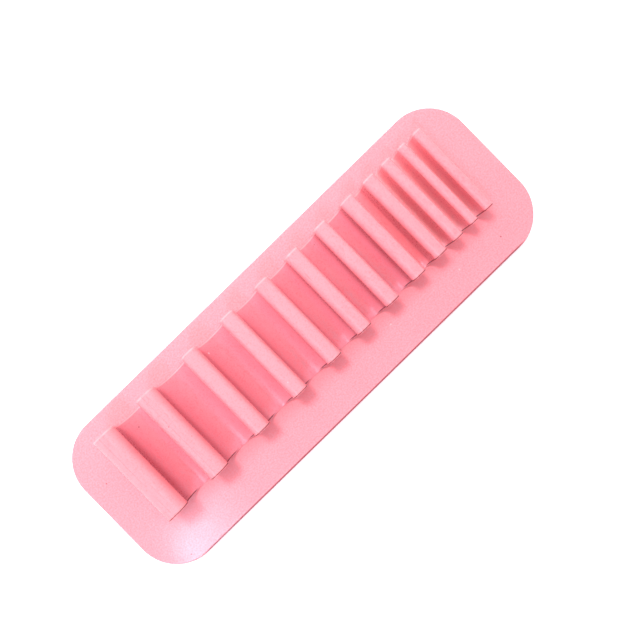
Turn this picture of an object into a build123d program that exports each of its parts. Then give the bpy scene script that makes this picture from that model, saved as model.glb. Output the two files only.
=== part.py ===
from build123d import *
from math import sqrt
import os

# Graded ridge moulding in silicone rubber, in millimetres.
# Origin: centre of the sheet's underside. +X runs along the row of ridges towards the
# fine-grooved end, +Y across the sheet towards the long edge that the row lies nearer, +Z up.

# Driving dimensions: sheet
sheet_length = 250.0
sheet_width = 83.5
sheet_thickness = 2.5
sheet_corner_radius = 22.0
sheet_edge_radius = 0.5

# Driving dimensions: row of ridges
row_start = -100.5        # X of the first ridge's outer side
row_offset = 6.6          # Y of the row's centre line
ridge_length = 47.6
ridge_widths = [11.4, 10.3, 8.6, 8.2, 8.0, 7.9, 7.4, 7.3, 6.8, 5.4, 4.4, 4.6]
groove_mouths = [14.5, 17.0, 15.1, 13.3, 10.8, 10.1, 9.5, 6.6, 4.7, 5.0, 5.0]
first_height = 20.5       # above the sheet, at the coarse end
last_height = 13.0        # above the sheet, at the fine end
crest_share = 0.36        # width of a crest's rounded side, as a share of the ridge's width
crest_drop = 1.3          # height of a crest's rounded side, as a multiple of its width
bore_share = 1.2          # most that a groove's bore may be wider than its mouth
groove_web = 0.4          # skin left under each groove, above the sheet
flare_radius = 6.0        # outer foot of the first and last ridge
flare_web = 0.1

row_length = sum(ridge_widths) + sum(groove_mouths)


def height_at(x):
    """Ridge height above the sheet, which falls evenly along the row."""
    return first_height + (last_height - first_height) * (x - row_start) / row_length


# The two sides of each ridge, from the coarse end to the fine end
ridge_sides = []
side_x = row_start
for index, width in enumerate(ridge_widths):
    ridge_sides.append((side_x, side_x + width))
    side_x += width + (groove_mouths[index] if index < len(groove_mouths) else 0.0)


def bore_radius(half_mouth, depth):
    """Radius of a groove's round floor: through the lip if it can, or else with a neck."""
    return min((half_mouth**2 + depth**2) / (2 * depth), bore_share * half_mouth)


def draw_groove_flank(outline, lip, centre, side):
    """Draw half a groove, from its middle up to a ridge's lip; return where it starts.

    outline is the ridge's side, and side is 1 for a flank that faces +X, -1 for -X.
    """
    floor = sheet_thickness + groove_web
    half_mouth = side * (centre - outline)
    radius = bore_radius(half_mouth, lip - floor)
    wall = centre - side * radius
    wall_top = lip - sqrt(radius**2 - half_mouth**2)
    Line((centre, sheet_thickness), (centre, floor))
    RadiusArc((centre, floor), (wall, floor + radius), side * radius)
    if wall_top - floor - radius > 0.01:
        Line((wall, floor + radius), (wall, wall_top))
        RadiusArc((wall, wall_top), (outline, lip), side * radius)
    else:
        RadiusArc((wall, floor + radius), (outline, lip), side * radius)
    return centre


def draw_flare(outline, lip, side):
    """Draw the outer flank of an end ridge: a quarter round that dies into the sheet."""
    floor = sheet_thickness + flare_web
    foot = outline + side * flare_radius
    Line((foot, sheet_thickness), (foot, floor))
    RadiusArc((foot, floor), (outline, floor + flare_radius), side * flare_radius)
    Line((outline, floor + flare_radius), (outline, lip))
    return foot


def draw_crest(left, right, lip, side_width):
    """Draw a ridge's flat top and the quarter ellipses that fall from it to the lips."""
    drop = crest_drop * side_width
    EllipticalCenterArc((left + side_width, lip), side_width, drop, 90, arc_size=90)
    Line((left + side_width, lip + drop), (right - side_width, lip + drop))
    EllipticalCenterArc((right - side_width, lip), side_width, drop, 0, arc_size=90)


# Sheet: flat flange all round the row, its underside flat
with BuildPart() as base_sheet:
    with BuildSketch():
        RectangleRounded(sheet_length, sheet_width, sheet_corner_radius)
    extrude(amount=sheet_thickness)
    fillet(base_sheet.edges().group_by(Axis.Z)[-1], sheet_edge_radius)

base_sheet.part.label = "base_sheet"
pieces = [base_sheet.part]

# Ridges: each reaches from the middle of one groove to the middle of the next
row_plane = Plane.XZ.offset(-row_offset)
last = len(ridge_sides) - 1
for index, (left, right) in enumerate(ridge_sides):
    side_width = crest_share * (right - left)
    lip = sheet_thickness + height_at((left + right) / 2) - crest_drop * side_width
    with BuildPart() as ridge:
        with BuildSketch(row_plane):
            with BuildLine():
                if index == 0:
                    left_foot = draw_flare(left, lip, -1)
                else:
                    left_foot = draw_groove_flank(left, lip, (ridge_sides[index - 1][1] + left) / 2, -1)
                if index == last:
                    right_foot = draw_flare(right, lip, 1)
                else:
                    right_foot = draw_groove_flank(right, lip, (right + ridge_sides[index + 1][0]) / 2, 1)
                draw_crest(left, right, lip, side_width)
                Line((left_foot, sheet_thickness), (right_foot, sheet_thickness))
            make_face()
        extrude(amount=ridge_length / 2, both=True)
    ridge.part.label = f"ridge_{index + 1:02d}"
    pieces.append(ridge.part)

os.makedirs("parts", exist_ok=True)
for piece in pieces:
    export_step(piece, f"parts/{piece.label}.step")
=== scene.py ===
import math

import bmesh
import bpy
from mathutils import Matrix, Vector


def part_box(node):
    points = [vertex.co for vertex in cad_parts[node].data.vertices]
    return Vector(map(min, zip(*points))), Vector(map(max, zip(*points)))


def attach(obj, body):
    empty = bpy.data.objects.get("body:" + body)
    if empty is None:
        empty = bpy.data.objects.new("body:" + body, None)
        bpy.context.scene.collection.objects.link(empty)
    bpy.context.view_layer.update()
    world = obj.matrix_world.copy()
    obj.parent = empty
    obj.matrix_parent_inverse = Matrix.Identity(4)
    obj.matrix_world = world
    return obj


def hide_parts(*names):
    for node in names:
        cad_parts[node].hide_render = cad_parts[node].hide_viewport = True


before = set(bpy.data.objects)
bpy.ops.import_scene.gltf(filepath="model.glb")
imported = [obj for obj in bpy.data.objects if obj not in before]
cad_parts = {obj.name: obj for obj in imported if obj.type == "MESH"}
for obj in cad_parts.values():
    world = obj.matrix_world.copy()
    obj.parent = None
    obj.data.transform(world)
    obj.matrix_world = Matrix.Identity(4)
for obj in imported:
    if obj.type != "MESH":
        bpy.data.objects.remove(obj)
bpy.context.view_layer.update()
mm = 0.001
near = 0.01 * mm                    # points closer than this count as one place
creaseAngle = math.radians(38)      # edges that turn more than this are shaded sharp
ridgeNames = sorted(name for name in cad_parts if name.startswith("ridge_"))
sheetLow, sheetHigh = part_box("base_sheet")
sheetTop = sheetHigh.z
rowLow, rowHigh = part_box(ridgeNames[0])
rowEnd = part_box(ridgeNames[-1])[1]
print("frame loaded:", len(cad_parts), "nodes,", len(ridgeNames), "ridges")


# Small helpers for meshes

def finishPiece(name, bm, material, node):
    for face in bm.faces:
        face.smooth = True
    for edge in bm.edges:
        edge.smooth = edge.calc_face_angle(0.0) < creaseAngle
    mesh = bpy.data.meshes.new(name)
    bm.to_mesh(mesh)
    bm.free()
    mesh.materials.append(material)
    piece = bpy.data.objects.new(name, mesh)
    bpy.context.scene.collection.objects.link(piece)
    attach(piece, "root")
    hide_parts(node)
    return piece


def roundOff(bm, edges, offset, segments):
    bmesh.ops.bevel(bm, geom=edges, offset=offset, offset_type="OFFSET", affect="EDGES",
                    segments=segments, profile=0.5, material=-1, clamp_overlap=True)


def stretch(bm, vert, move):
    # drags a new edge out of a vertex and gives back its far end
    made = bmesh.ops.extrude_vert_indiv(bm, verts=[vert])
    bmesh.ops.translate(bm, verts=made["verts"], vec=move)
    return made["verts"][0]


def swing(bm, vert, centre, degrees, segments):
    # drags a round run of edges out of a vertex, about an axis along Y
    made = bmesh.ops.spin(bm, geom=[vert], cent=centre, axis=(0.0, 1.0, 0.0), dvec=(0.0, 0.0, 0.0),
                          angle=math.radians(degrees), steps=segments, use_merge=False,
                          use_normal_flip=False, use_duplicate=False)
    return [item for item in made["geom_last"] if isinstance(item, bmesh.types.BMVert)][0]


# Silicone: what both of its materials share

siliconeIor = 1.43

def newGroup(name, inputs, outputs):
    group = bpy.data.node_groups.new(name, "ShaderNodeTree")
    for label, kind, value in inputs:
        socket = group.interface.new_socket(label, in_out="INPUT", socket_type=kind)
        if value is not None:
            socket.default_value = value
    for label, kind in outputs:
        group.interface.new_socket(label, in_out="OUTPUT", socket_type=kind)
    nodes = group.nodes
    return group, nodes, group.links, nodes.new("NodeGroupInput"), nodes.new("NodeGroupOutput")


def mathNode(nodes, operation, clamp=False):
    node = nodes.new("ShaderNodeMath")
    node.operation = operation
    node.use_clamp = clamp
    return node


def colourMix(nodes, blend):
    node = nodes.new("ShaderNodeMix")
    node.data_type = "RGBA"
    node.blend_type = blend
    return node


def makeCastSkin():
    # fine satin grain of a cast surface, with a slower orange-peel unevenness under it
    group, nodes, links, entry, out = newGroup("castSkin", [
        ("Vector", "NodeSocketVector", None), ("Grain Scale", "NodeSocketFloat", 1800.0),
        ("Peel Scale", "NodeSocketFloat", 260.0), ("Peel Share", "NodeSocketFloat", 0.4),
    ], [("Height", "NodeSocketFloat")])
    grain = nodes.new("ShaderNodeTexNoise")
    grain.inputs["Detail"].default_value = 3.0
    grain.inputs["Roughness"].default_value = 0.6
    peel = nodes.new("ShaderNodeTexNoise")
    peel.inputs["Detail"].default_value = 2.0
    blend = nodes.new("ShaderNodeMix")
    links.new(entry.outputs["Vector"], grain.inputs["Vector"])
    links.new(entry.outputs["Vector"], peel.inputs["Vector"])
    links.new(entry.outputs["Grain Scale"], grain.inputs["Scale"])
    links.new(entry.outputs["Peel Scale"], peel.inputs["Scale"])
    links.new(entry.outputs["Peel Share"], blend.inputs["Factor"])
    links.new(grain.outputs["Fac"], blend.inputs["A"])
    links.new(peel.outputs["Fac"], blend.inputs["B"])
    links.new(blend.outputs["Result"], out.inputs["Height"])
    return group


def makeMottle():
    # slow and fine changes of tint through the rubber, as a factor about the middle
    group, nodes, links, entry, out = newGroup("mottle", [
        ("Vector", "NodeSocketVector", None), ("Cloud Scale", "NodeSocketFloat", 30.0),
        ("Fleck Scale", "NodeSocketFloat", 700.0), ("Fleck Share", "NodeSocketFloat", 0.45),
    ], [("Factor", "NodeSocketFloat")])
    cloud = nodes.new("ShaderNodeTexNoise")
    cloud.inputs["Detail"].default_value = 4.0
    fleck = nodes.new("ShaderNodeTexNoise")
    fleck.inputs["Detail"].default_value = 2.0
    blend = nodes.new("ShaderNodeMix")
    spread = nodes.new("ShaderNodeMapRange")
    spread.inputs["From Min"].default_value = 0.3
    spread.inputs["From Max"].default_value = 0.7
    links.new(entry.outputs["Vector"], cloud.inputs["Vector"])
    links.new(entry.outputs["Vector"], fleck.inputs["Vector"])
    links.new(entry.outputs["Cloud Scale"], cloud.inputs["Scale"])
    links.new(entry.outputs["Fleck Scale"], fleck.inputs["Scale"])
    links.new(entry.outputs["Fleck Share"], blend.inputs["Factor"])
    links.new(cloud.outputs["Fac"], blend.inputs["A"])
    links.new(fleck.outputs["Fac"], blend.inputs["B"])
    links.new(blend.outputs["Result"], spread.inputs["Value"])
    links.new(spread.outputs["Result"], out.inputs["Factor"])
    return group


def makeDust():
    # sparse specks that cling to the rubber: one cell in a few holds a speck of its own size
    group, nodes, links, entry, out = newGroup("dust", [
        ("Vector", "NodeSocketVector", None), ("Scale", "NodeSocketFloat", 260.0),
        ("Share", "NodeSocketFloat", 0.05), ("Size", "NodeSocketFloat", 0.18),
    ], [("Mask", "NodeSocketFloat")])
    cells = nodes.new("ShaderNodeTexVoronoi")
    chance = nodes.new("ShaderNodeSeparateColor")
    holds = mathNode(nodes, "LESS_THAN")
    speckSize = mathNode(nodes, "MULTIPLY")
    speck = nodes.new("ShaderNodeMapRange")
    speck.interpolation_type = "SMOOTHSTEP"
    speck.inputs["To Min"].default_value = 1.0
    speck.inputs["To Max"].default_value = 0.0
    inner = mathNode(nodes, "MULTIPLY")
    inner.inputs[1].default_value = 0.5
    keep = mathNode(nodes, "MULTIPLY")
    links.new(entry.outputs["Vector"], cells.inputs["Vector"])
    links.new(entry.outputs["Scale"], cells.inputs["Scale"])
    links.new(cells.outputs["Color"], chance.inputs["Color"])
    links.new(chance.outputs["Red"], holds.inputs[0])
    links.new(entry.outputs["Share"], holds.inputs[1])
    links.new(chance.outputs["Green"], speckSize.inputs[0])
    links.new(entry.outputs["Size"], speckSize.inputs[1])
    links.new(speckSize.outputs["Value"], inner.inputs[0])
    links.new(cells.outputs["Distance"], speck.inputs["Value"])
    links.new(inner.outputs["Value"], speck.inputs["From Min"])
    links.new(speckSize.outputs["Value"], speck.inputs["From Max"])
    links.new(speck.outputs["Result"], keep.inputs[0])
    links.new(holds.outputs["Value"], keep.inputs[1])
    links.new(keep.outputs["Value"], out.inputs["Mask"])
    return group


def makePaintedShadeMasks():
    # masks for painted shade: how far a spot lies below the ridges' tops, which fall evenly along X, and
    # how steep it is;
    # the depth, but not the steepness, fades out between two X
    group, nodes, links, entry, out = newGroup("shelter", [
        ("Vector", "NodeSocketVector", None), ("Normal", "NodeSocketVector", None),
        ("Row Fall", "NodeSocketFloat", 0.022), ("Open Height", "NodeSocketFloat", 18.0 * mm),
        ("Deep Height", "NodeSocketFloat", 11.0 * mm), ("Open Slope", "NodeSocketFloat", 0.7),
        ("Steep Slope", "NodeSocketFloat", -0.1), ("Fade Start", "NodeSocketFloat", 55.0 * mm),
        ("Fade End", "NodeSocketFloat", 75.0 * mm),
    ], [("Depth", "NodeSocketFloat"), ("Wall", "NodeSocketFloat")])
    spot = nodes.new("ShaderNodeSeparateXYZ")
    level = mathNode(nodes, "MULTIPLY_ADD")
    depth = nodes.new("ShaderNodeMapRange")
    depth.interpolation_type = "SMOOTHSTEP"
    facing = nodes.new("ShaderNodeSeparateXYZ")
    steep = nodes.new("ShaderNodeMapRange")
    steep.interpolation_type = "SMOOTHSTEP"
    wall = mathNode(nodes, "MULTIPLY")
    fade = nodes.new("ShaderNodeMapRange")
    fade.inputs["To Min"].default_value = 1.0
    fade.inputs["To Max"].default_value = 0.0
    faded = mathNode(nodes, "MULTIPLY")
    links.new(entry.outputs["Vector"], spot.inputs["Vector"])
    links.new(spot.outputs["X"], level.inputs[0])
    links.new(entry.outputs["Row Fall"], level.inputs[1])
    links.new(spot.outputs["Z"], level.inputs[2])
    links.new(level.outputs["Value"], depth.inputs["Value"])
    links.new(entry.outputs["Open Height"], depth.inputs["From Min"])
    links.new(entry.outputs["Deep Height"], depth.inputs["From Max"])
    links.new(entry.outputs["Normal"], facing.inputs["Vector"])
    links.new(facing.outputs["Z"], steep.inputs["Value"])
    links.new(entry.outputs["Open Slope"], steep.inputs["From Min"])
    links.new(entry.outputs["Steep Slope"], steep.inputs["From Max"])
    links.new(steep.outputs["Result"], wall.inputs[0])
    links.new(depth.outputs["Result"], wall.inputs[1])
    links.new(spot.outputs["X"], fade.inputs["Value"])
    links.new(entry.outputs["Fade Start"], fade.inputs["From Min"])
    links.new(entry.outputs["Fade End"], fade.inputs["From Max"])
    links.new(depth.outputs["Result"], faded.inputs[0])
    links.new(fade.outputs["Result"], faded.inputs[1])
    links.new(faded.outputs["Value"], out.inputs["Depth"])
    links.new(wall.outputs["Value"], out.inputs["Wall"])
    return group


def makeEdgeBand():
    # a band about one Y, as long as its reach along X, which comes in between two heights;
    # it comes in downwards where the full height is the lower of the two
    group, nodes, links, entry, out = newGroup("edgeBand", [
        ("Vector", "NodeSocketVector", None), ("Edge Y", "NodeSocketFloat", 0.0),
        ("Width", "NodeSocketFloat", 0.6 * mm), ("Amount", "NodeSocketFloat", 0.5),
        ("Middle X", "NodeSocketFloat", 0.0), ("Full Reach", "NodeSocketFloat", 0.2),
        ("Last Reach", "NodeSocketFloat", 0.21), ("Clear Height", "NodeSocketFloat", -2.0 * mm),
        ("Full Height", "NodeSocketFloat", -1.0 * mm),
    ], [("Mask", "NodeSocketFloat")])
    spot = nodes.new("ShaderNodeSeparateXYZ")
    links.new(entry.outputs["Vector"], spot.inputs["Vector"])
    factors = []
    for axis, middle, full, last in (("Y", "Edge Y", None, "Width"),
                                     ("X", "Middle X", "Full Reach", "Last Reach")):
        away = mathNode(nodes, "SUBTRACT")
        distance = mathNode(nodes, "ABSOLUTE")
        band = nodes.new("ShaderNodeMapRange")
        band.interpolation_type = "SMOOTHSTEP"
        band.inputs["To Min"].default_value = 1.0
        band.inputs["To Max"].default_value = 0.0
        links.new(spot.outputs[axis], away.inputs[0])
        links.new(entry.outputs[middle], away.inputs[1])
        links.new(away.outputs["Value"], distance.inputs[0])
        links.new(distance.outputs["Value"], band.inputs["Value"])
        if full:
            links.new(entry.outputs[full], band.inputs["From Min"])
        links.new(entry.outputs[last], band.inputs["From Max"])
        factors.append(band.outputs["Result"])
    rise = nodes.new("ShaderNodeMapRange")
    links.new(spot.outputs["Z"], rise.inputs["Value"])
    links.new(entry.outputs["Clear Height"], rise.inputs["From Min"])
    links.new(entry.outputs["Full Height"], rise.inputs["From Max"])
    factors += [rise.outputs["Result"], entry.outputs["Amount"]]
    total = factors[0]
    for factor in factors[1:]:
        product = mathNode(nodes, "MULTIPLY")
        links.new(total, product.inputs[0])
        links.new(factor, product.inputs[1])
        total = product.outputs["Value"]
    links.new(total, out.inputs["Mask"])
    return group


castSkin = makeCastSkin()
mottle = makeMottle()
dust = makeDust()
shelter = makePaintedShadeMasks()
edgeBand = makeEdgeBand()
print("shared silicone effects done")


def placeGroup(nodes, group, values):
    node = nodes.new("ShaderNodeGroup")
    node.node_tree = group
    for label, value in values.items():
        node.inputs[label].default_value = value
    return node


def makeSilicone(name, look):
    # one pink rubber, with painted shade that deepens it where a spot lies low and where a wall turns
    # steep, and marked by the bands, each of which is a set of values for edgeBand and a tint
    material = bpy.data.materials.new(name)
    material.use_nodes = True
    nodes, links = material.node_tree.nodes, material.node_tree.links
    shader = nodes["Principled BSDF"]
    shader.inputs["IOR"].default_value = siliconeIor
    shader.inputs["Subsurface Weight"].default_value = look["translucence"]
    shader.inputs["Subsurface Radius"].default_value = look["glowReach"]
    shader.inputs["Subsurface Scale"].default_value = look["glowScale"]
    place = nodes.new("ShaderNodeTexCoord")

    clouds = placeGroup(nodes, mottle, look["mottle"])
    tint = colourMix(nodes, "MIX")
    tint.inputs["A"].default_value = look["paleTint"]
    tint.inputs["B"].default_value = look["deepTint"]
    links.new(place.outputs["Object"], clouds.inputs["Vector"])
    links.new(clouds.outputs["Factor"], tint.inputs["Factor"])

    depth = placeGroup(nodes, shelter, look["shelter"])
    deep = colourMix(nodes, "MULTIPLY")
    deep.inputs["B"].default_value = look["depthTint"]
    wall = colourMix(nodes, "MULTIPLY")
    wall.inputs["B"].default_value = look["wallTint"]
    links.new(place.outputs["Object"], depth.inputs["Vector"])
    links.new(place.outputs["Normal"], depth.inputs["Normal"])
    links.new(depth.outputs["Depth"], deep.inputs["Factor"])
    links.new(depth.outputs["Wall"], wall.inputs["Factor"])
    links.new(tint.outputs["Result"], deep.inputs["A"])
    links.new(deep.outputs["Result"], wall.inputs["A"])

    colour = wall.outputs["Result"]
    for values, bandTint in look["bands"]:
        band = placeGroup(nodes, edgeBand, values)
        marked = colourMix(nodes, "MIX")
        marked.inputs["B"].default_value = bandTint
        links.new(place.outputs["Object"], band.inputs["Vector"])
        links.new(band.outputs["Mask"], marked.inputs["Factor"])
        links.new(colour, marked.inputs["A"])
        colour = marked.outputs["Result"]

    paleSpecks = placeGroup(nodes, dust, look["paleSpecks"])
    darkSpecks = placeGroup(nodes, dust, look["darkSpecks"])
    lint = colourMix(nodes, "MIX")
    lint.inputs["B"].default_value = look["lintTint"]
    grit = colourMix(nodes, "MIX")
    grit.inputs["B"].default_value = look["gritTint"]
    links.new(place.outputs["Object"], paleSpecks.inputs["Vector"])
    links.new(place.outputs["Object"], darkSpecks.inputs["Vector"])
    links.new(paleSpecks.outputs["Mask"], lint.inputs["Factor"])
    links.new(darkSpecks.outputs["Mask"], grit.inputs["Factor"])
    links.new(colour, lint.inputs["A"])
    links.new(lint.outputs["Result"], grit.inputs["A"])
    links.new(grit.outputs["Result"], shader.inputs["Base Color"])

    satin = nodes.new("ShaderNodeMapRange")
    satin.inputs["To Min"].default_value = look["roughness"][0]
    satin.inputs["To Max"].default_value = look["roughness"][1]
    links.new(clouds.outputs["Factor"], satin.inputs["Value"])
    links.new(satin.outputs["Result"], shader.inputs["Roughness"])

    skin = placeGroup(nodes, castSkin, look["skin"])
    relief = nodes.new("ShaderNodeBump")
    relief.inputs["Strength"].default_value = look["skinStrength"]
    relief.inputs["Distance"].default_value = look["skinDepth"]
    links.new(place.outputs["Object"], skin.inputs["Vector"])
    links.new(skin.outputs["Height"], relief.inputs["Height"])
    links.new(relief.outputs["Normal"], shader.inputs["Normal"])
    return material


# Sheet

sheet = {
    "cornerRadius": 22.0 * mm,
    "edgeRadius": 0.5 * mm,
    "cornerSegments": 24,
    "edgeSegments": 4,
    "look": {
        "paleTint": (0.985, 0.352, 0.405, 1.0),
        "deepTint": (0.97, 0.247, 0.292, 1.0),
        "depthTint": (1.0, 1.0, 1.0, 1.0),
        "wallTint": (0.85, 0.72, 0.8, 1.0),         # painted shading round the edge
        "shelter": {"Row Fall": 0.0, "Open Height": 2.55 * mm, "Deep Height": 2.4 * mm,
                    "Open Slope": 0.99, "Steep Slope": 0.7, "Fade Start": 1.0, "Fade End": 2.0},
        "bands": [
            # painted shading: warmer and deeper beside the row's open ends
            ({"Edge Y": rowLow.y, "Width": 11.0 * mm, "Amount": 0.7,
              "Middle X": (rowLow.x + rowEnd.x) / 2, "Full Reach": (rowEnd.x - rowLow.x) / 2 - 8.0 * mm,
              "Last Reach": (rowEnd.x - rowLow.x) / 2 + 6.0 * mm, "Clear Height": sheetTop - 1.0 * mm,
              "Full Height": sheetTop - 0.5 * mm}, (0.8, 0.2, 0.235, 1.0)),
            # painted shading: a dark line along one long edge
            ({"Edge Y": sheetLow.y + 0.5 * mm, "Width": 0.65 * mm, "Amount": 0.95, "Middle X": 0.0,
              "Full Reach": 100.0 * mm, "Last Reach": 112.0 * mm, "Clear Height": sheetTop - 1.0 * mm,
              "Full Height": sheetTop - 0.5 * mm}, (0.2, 0.035, 0.045, 1.0)),
        ],
        "lintTint": (0.98, 0.44, 0.48, 1.0),
        "gritTint": (0.4, 0.1, 0.13, 1.0),
        "translucence": 0.3,
        "glowReach": (1.0, 0.3, 0.3),
        "glowScale": 2.5 * mm,
        "roughness": (0.21, 0.27),
        "mottle": {"Cloud Scale": 26.0, "Fleck Scale": 1200.0, "Fleck Share": 0.88},
        "paleSpecks": {"Scale": 240.0, "Share": 0.1, "Size": 0.14},
        "darkSpecks": {"Scale": 190.0, "Share": 0.12, "Size": 0.1},
        "skin": {"Grain Scale": 1500.0, "Peel Scale": 220.0, "Peel Share": 0.35},
        "skinStrength": 0.5,
        "skinDepth": 0.16 * mm,
    },
}
sheetSilicone = makeSilicone("sheetSilicone", sheet["look"])


def makeSheet():
    size = sheetHigh - sheetLow
    place = Matrix.Translation((sheetLow + sheetHigh) / 2) @ Matrix.Diagonal((*size, 1.0))
    bm = bmesh.new()
    bmesh.ops.create_cube(bm, size=1.0, matrix=place)
    uprights = [e for e in bm.edges if abs(e.verts[0].co.z - e.verts[1].co.z) > size.z / 2]
    roundOff(bm, uprights, sheet["cornerRadius"], sheet["cornerSegments"])
    rim = [e for e in bm.edges if min(v.co.z for v in e.verts) > sheetTop - size.z / 2]
    roundOff(bm, rim, sheet["edgeRadius"], sheet["edgeSegments"])
    return finishPiece("sheet", bm, sheetSilicone, "base_sheet")


makeSheet()
print("sheet done")


# Ridges

ridge = {
    "web": 0.4 * mm,                # skin under each groove
    "boreShare": 1.2,               # most that a bore may be wider than its groove's mouth
    "crestShare": 0.36,             # plan width of a crest's rounded side, as a share of the ridge's
    "crestDrop": 1.3,               # height of a crest's rounded side, as a multiple of its width
    "flareRadius": 6.0 * mm,        # outer foot of the first and last ridge
    "flareWeb": 0.1 * mm,
    "roundSegments": 16,            # in a quarter turn
    "fewestSegments": 3,            # in a short turn
    "lipRound": 0.18 * mm,
    "lipTurn": 12.0,                # degrees of turn that make an edge a lip
    "lipSegments": 3,
    "crestEndRound": 0.7 * mm,
    "crestEndSegments": 5,
    "grooveEndRound": 0.45 * mm,
    "grooveEndTurn": 60.0,          # degrees of turn that make an edge a rim
    "grooveEndSegments": 4,
    "footSink": 0.7 * mm,           # how far a ridge runs down inside the sheet
    "toolMarks": 2,                 # ridges, from the coarse end, with a moulder's line on the crest
    "toolMarkEdge": 0.5 * mm,
    "toolMarkWidth": 0.22 * mm,
    "toolMarkDepth": 0.16 * mm,
    "look": {
        "paleTint": (0.985, 0.332, 0.377, 1.0),
        "deepTint": (0.97, 0.23, 0.27, 1.0),
        "depthTint": (0.77, 0.74, 0.81, 1.0),       # painted shading down in the grooves
        # painted shading on the steep walls down in the grooves
        "wallTint": (0.74, 0.66, 0.68, 1.0),
        "shelter": {"Row Fall": 0.022, "Open Height": 17.9 * mm, "Deep Height": 11.4 * mm,
                    "Open Slope": 0.6, "Steep Slope": -0.1,
                    "Fade Start": 52.0 * mm, "Fade End": 72.0 * mm},
        "bands": [
            # painted shading: paler on the floors of the shallow grooves, whatever their Y
            ({"Edge Y": 0.0, "Width": 1.0, "Amount": 0.6, "Middle X": rowEnd.x,
              "Full Reach": 30.0 * mm, "Last Reach": 38.0 * mm, "Clear Height": sheetTop + 7.0 * mm,
              "Full Height": sheetTop + 2.5 * mm}, (1.0, 0.55, 0.6, 1.0)),
            # painted shading: a pale line at one end of the row, and a dark one at the other
            ({"Edge Y": rowHigh.y - 0.45 * mm, "Width": 0.6 * mm, "Amount": 0.6}, (0.99, 0.48, 0.52, 1.0)),
            ({"Edge Y": rowLow.y + 0.35 * mm, "Width": 0.4 * mm, "Amount": 1.0,
              "Clear Height": sheetTop + 0.8 * mm, "Full Height": sheetTop + 2.2 * mm},
             (0.1, 0.012, 0.016, 1.0)),
            # a scuffed lip and a scratched crest
            ({"Edge Y": rowLow.y + 3.5 * mm, "Width": 3.0 * mm, "Amount": 0.6, "Middle X": 65.2 * mm,
              "Full Reach": 0.2 * mm, "Last Reach": 0.6 * mm, "Clear Height": sheetTop + 8.0 * mm,
              "Full Height": sheetTop + 9.0 * mm}, (0.4, 0.06, 0.08, 1.0)),
            ({"Edge Y": 17.0 * mm, "Width": 4.0 * mm, "Amount": 0.5, "Middle X": 18.3 * mm,
              "Full Reach": 0.05 * mm, "Last Reach": 0.3 * mm, "Clear Height": sheetTop + 12.0 * mm,
              "Full Height": sheetTop + 13.0 * mm}, (0.6, 0.12, 0.15, 1.0)),
        ],
        "lintTint": (0.98, 0.44, 0.48, 1.0),
        "gritTint": (0.4, 0.1, 0.13, 1.0),
        "translucence": 0.3,
        "glowReach": (1.0, 0.3, 0.3),
        "glowScale": 2.5 * mm,
        "roughness": (0.25, 0.32),
        "mottle": {"Cloud Scale": 34.0, "Fleck Scale": 1200.0, "Fleck Share": 0.88},
        "paleSpecks": {"Scale": 240.0, "Share": 0.08, "Size": 0.14},
        "darkSpecks": {"Scale": 210.0, "Share": 0.16, "Size": 0.12},
        "skin": {"Grain Scale": 1500.0, "Peel Scale": 220.0, "Peel Share": 0.35},
        "skinStrength": 0.7,
        "skinDepth": 0.16 * mm,
    },
}
ridgeSilicone = makeSilicone("ridgeSilicone", ridge["look"])


def crestOf(name):
    # the flat top of a ridge gives its width, because its rounded sides are shares of that
    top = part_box(name)[1].z
    flat = [v.co.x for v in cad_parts[name].data.vertices if v.co.z > top - near / 10]
    side = (max(flat) - min(flat)) * ridge["crestShare"] / (1.0 - 2.0 * ridge["crestShare"])
    return {"left": min(flat) - side, "right": max(flat) + side, "side": side,
            "top": top, "lip": top - ridge["crestDrop"] * side}


crests = [crestOf(name) for name in ridgeNames]
middles = [(before["right"] + after["left"]) / 2 for before, after in zip(crests, crests[1:])]


def drawGrooveFlank(bm, outline, lipHeight, middle, side, y):
    # from the middle of a groove up to the ridge's lip; side is 1 where the flank faces +X
    halfMouth = side * (middle - outline)
    floor = sheetTop + ridge["web"]
    depth = lipHeight - floor
    radius = min((halfMouth ** 2 + depth ** 2) / (2 * depth), ridge["boreShare"] * halfMouth)
    rise = math.sqrt(radius ** 2 - halfMouth ** 2)          # of the lip over the bore's middle
    foot = bm.verts.new((middle, y, sheetTop - ridge["footSink"]))
    vert = stretch(bm, foot, (0.0, 0.0, ridge["footSink"] + ridge["web"]))
    vert = swing(bm, vert, (middle, y, floor + radius), side * 90.0, ridge["roundSegments"])
    straight = lipHeight - rise - floor - radius
    if straight > near:
        vert = stretch(bm, vert, (0.0, 0.0, straight))
    turn = math.degrees(math.asin(rise / radius))
    lip = swing(bm, vert, (middle, y, lipHeight - rise), side * turn,
                max(ridge["fewestSegments"], round(ridge["roundSegments"] * turn / 90.0)))
    return foot, lip


def drawFlare(bm, outline, lipHeight, side, y):
    # the outer flank of an end ridge: a quarter round that dies into the sheet
    radius = ridge["flareRadius"]
    foot = bm.verts.new((outline + side * radius, y, sheetTop - ridge["footSink"]))
    vert = stretch(bm, foot, (0.0, 0.0, ridge["footSink"] + ridge["flareWeb"]))
    axisHeight = sheetTop + ridge["flareWeb"] + radius
    vert = swing(bm, vert, (foot.co.x, y, axisHeight), side * 90.0, ridge["roundSegments"])
    return foot, stretch(bm, vert, (0.0, 0.0, lipHeight - axisHeight))


def drawCrestSide(bm, lip, crest, side):
    # a quarter round from the lip to the crest's flat top, pulled up into an ellipse
    before = set(bm.verts)
    centre = lip.co - Vector((side * crest["side"], 0.0, 0.0))
    top = swing(bm, lip, centre, -side * 90.0, ridge["roundSegments"])
    bmesh.ops.scale(bm, verts=[v for v in bm.verts if v not in before],
                    vec=(1.0, 1.0, ridge["crestDrop"]), space=Matrix.Translation(-centre))
    return top


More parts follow.
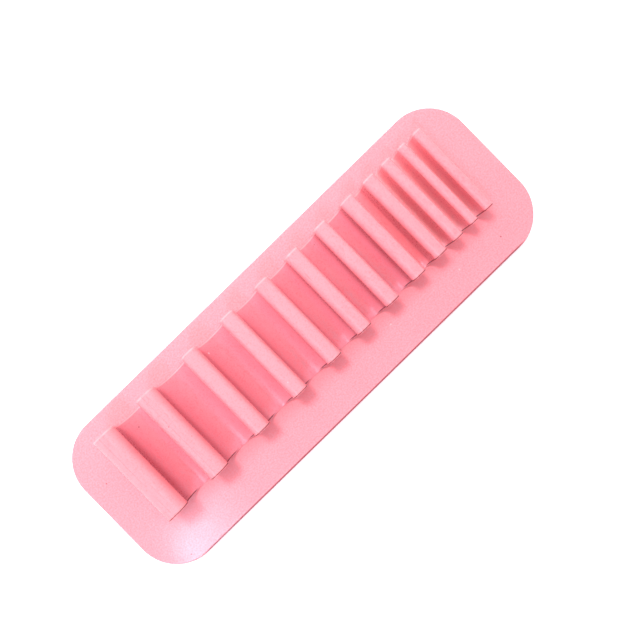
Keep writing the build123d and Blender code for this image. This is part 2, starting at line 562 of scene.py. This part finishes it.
def makeRidge(index, name):
    low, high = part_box(name)
    crest = crests[index]
    bm = bmesh.new()
    if index == 0:
        leftFoot, leftLip = drawFlare(bm, crest["left"], crest["lip"], -1, low.y)
    else:
        leftFoot, leftLip = drawGrooveFlank(bm, crest["left"], crest["lip"], middles[index - 1], -1, low.y)
    if index == len(crests) - 1:
        rightFoot, rightLip = drawFlare(bm, crest["right"], crest["lip"], 1, low.y)
    else:
        rightFoot, rightLip = drawGrooveFlank(bm, crest["right"], crest["lip"], middles[index], 1, low.y)
    lipCorners = [v.co.copy() for v in (leftLip, rightLip)]
    leftTop = drawCrestSide(bm, leftLip, crest, -1)
    rightTop = drawCrestSide(bm, rightLip, crest, 1)
    bm.edges.new((leftTop, rightTop))
    bm.edges.new((leftFoot, rightFoot))
    bmesh.ops.remove_doubles(bm, verts=bm.verts[:], dist=near / 5)
    bmesh.ops.contextual_create(bm, geom=bm.edges[:])
    made = bmesh.ops.extrude_face_region(bm, geom=bm.faces[:])
    farEnd = [item for item in made["geom"] if isinstance(item, bmesh.types.BMVert)]
    bmesh.ops.translate(bm, verts=farEnd, vec=(0.0, high.y - low.y, 0.0))
    bmesh.ops.recalc_face_normals(bm, faces=bm.faces[:])

    lips = [e for e in bm.edges if e.calc_face_angle(0.0) > math.radians(ridge["lipTurn"])
            and any(all((v.co.xz - corner.xz).length < near for v in e.verts) for corner in lipCorners)]
    roundOff(bm, lips, ridge["lipRound"], ridge["lipSegments"])
    endRims = [e for e in bm.edges if abs(e.verts[0].co.y - e.verts[1].co.y) < near]
    crestRims = [e for e in endRims if min(v.co.z for v in e.verts) > crest["lip"] - near]
    roundOff(bm, crestRims, ridge["crestEndRound"], ridge["crestEndSegments"])
    grooveRims = [e for e in bm.edges
                  if e.calc_face_angle(0.0) > math.radians(ridge["grooveEndTurn"])
                  and sheetTop < min(v.co.z for v in e.verts)
                  and max(v.co.z for v in e.verts) < crest["top"]
                  and (all(v.co.y < low.y + near for v in e.verts)
                       or all(v.co.y > high.y - near for v in e.verts))]
    roundOff(bm, grooveRims, ridge["grooveEndRound"], ridge["grooveEndSegments"])
    if index < ridge["toolMarks"]:
        crown = max(bm.faces, key=lambda f: f.calc_center_median().z + f.normal.z)
        bmesh.ops.inset_region(bm, faces=[crown], thickness=ridge["toolMarkEdge"])
        bmesh.ops.inset_region(bm, faces=[crown], thickness=ridge["toolMarkWidth"],
                               depth=-ridge["toolMarkDepth"])
    return finishPiece(name.replace("_", ""), bm, ridgeSilicone, name)


for index, name in enumerate(ridgeNames):
    makeRidge(index, name)
print("ridges done")


# Floor, light and camera

stage = {
    "floorSize": 6.0,
    "floorTint": (0.96, 0.96, 0.96, 1.0),
    "floorGlow": 0.12,
    "floorRoughness": 0.9,
    "skyStrength": (0.61, 1.16),    # away from the bright side, and towards it
    "brightSide": (0.3, 0.95, 0.0),
    "sheenless": ("keySoftbox",),   # lights that leave no sheen on the rubber
    "lights": {
        # where each softbox stands, its side, its power and its tint
        "keySoftbox": ((-0.07, 0.24, 0.54), 0.1, 2.4, (1.0, 0.97, 0.95)),
        "coolWindow": ((-0.385, -0.265, 0.62), 0.11, 1.65, (0.68, 0.79, 1.0)),
        "lowSoftbox": ((-0.1, 0.85, 0.24), 0.4, 2.2, (1.0, 0.98, 0.95)),
    },
}


def makeFloor():
    bm = bmesh.new()
    bmesh.ops.create_grid(bm, x_segments=1, y_segments=1, size=stage["floorSize"] / 2)
    mesh = bpy.data.meshes.new("floor")
    bm.to_mesh(mesh)
    bm.free()
    floor = bpy.data.objects.new("floor", mesh)
    bpy.context.scene.collection.objects.link(floor)
    material = bpy.data.materials.new("paleFloor")
    material.use_nodes = True
    shader = material.node_tree.nodes["Principled BSDF"]
    shader.inputs["Base Color"].default_value = stage["floorTint"]
    shader.inputs["Roughness"].default_value = stage["floorRoughness"]
    shader.inputs["Emission Color"].default_value = stage["floorTint"]
    shader.inputs["Emission Strength"].default_value = stage["floorGlow"]
    mesh.materials.append(material)


def makeLight(name, place, side, power, tint):
    lamp = bpy.data.lights.new(name, "AREA")
    lamp.shape = "SQUARE"
    lamp.size = side
    lamp.energy = power
    lamp.color = tint
    softbox = bpy.data.objects.new(name, lamp)
    softbox.location = place
    softbox.rotation_mode = "QUATERNION"
    softbox.rotation_quaternion = (-Vector(place)).to_track_quat("-Z", "Y")
    softbox.visible_glossy = name not in stage["sheenless"]
    bpy.context.scene.collection.objects.link(softbox)


def makeSky():
    world = bpy.data.worlds.new("studio")
    world.use_nodes = True
    nodes, links = world.node_tree.nodes, world.node_tree.links
    sky = nodes["Background"]
    sky.inputs["Color"].default_value = (1.0, 1.0, 1.0, 1.0)
    place = nodes.new("ShaderNodeTexCoord")
    towards = nodes.new("ShaderNodeVectorMath")
    towards.operation = "DOT_PRODUCT"
    towards.inputs[1].default_value = stage["brightSide"]
    strength = nodes.new("ShaderNodeMapRange")
    strength.inputs["From Min"].default_value = -1.0
    strength.inputs["To Min"].default_value = stage["skyStrength"][0]
    strength.inputs["To Max"].default_value = stage["skyStrength"][1]
    links.new(place.outputs["Generated"], towards.inputs[0])
    links.new(towards.outputs["Value"], strength.inputs["Value"])
    links.new(strength.outputs["Result"], sky.inputs["Strength"])
    bpy.context.scene.world = world
    bpy.context.scene.view_settings.view_transform = "Standard"


makeFloor()
makeSky()
for lightName, values in stage["lights"].items():
    makeLight(lightName, *values)

camera = {
    "above": 223.4 * mm,            # over the sheet's top face
    "x": -23.3 * mm,
    "y": 1.45 * mm,
    "turn": -44.35,                 # degrees about the vertical
    "fieldWidth": 303.0 * mm,       # width of the picture at the sheet's top face
    "shift": (0.0853, 0.0755),
    "sensor": 36.0,
    "clipStart": 0.01,
}


def makeCamera():
    data = bpy.data.cameras.new("camera")
    data.sensor_fit = "HORIZONTAL"
    data.sensor_width = camera["sensor"]
    data.lens = camera["sensor"] * camera["above"] / camera["fieldWidth"]
    data.shift_x, data.shift_y = camera["shift"]
    data.clip_start = camera["clipStart"]
    view = bpy.data.objects.new("camera", data)
    view.location = (camera["x"], camera["y"], sheetTop + camera["above"])
    view.rotation_euler = (0.0, 0.0, math.radians(camera["turn"]))
    bpy.context.scene.collection.objects.link(view)
    bpy.context.scene.camera = view


makeCamera()
print("stage done")
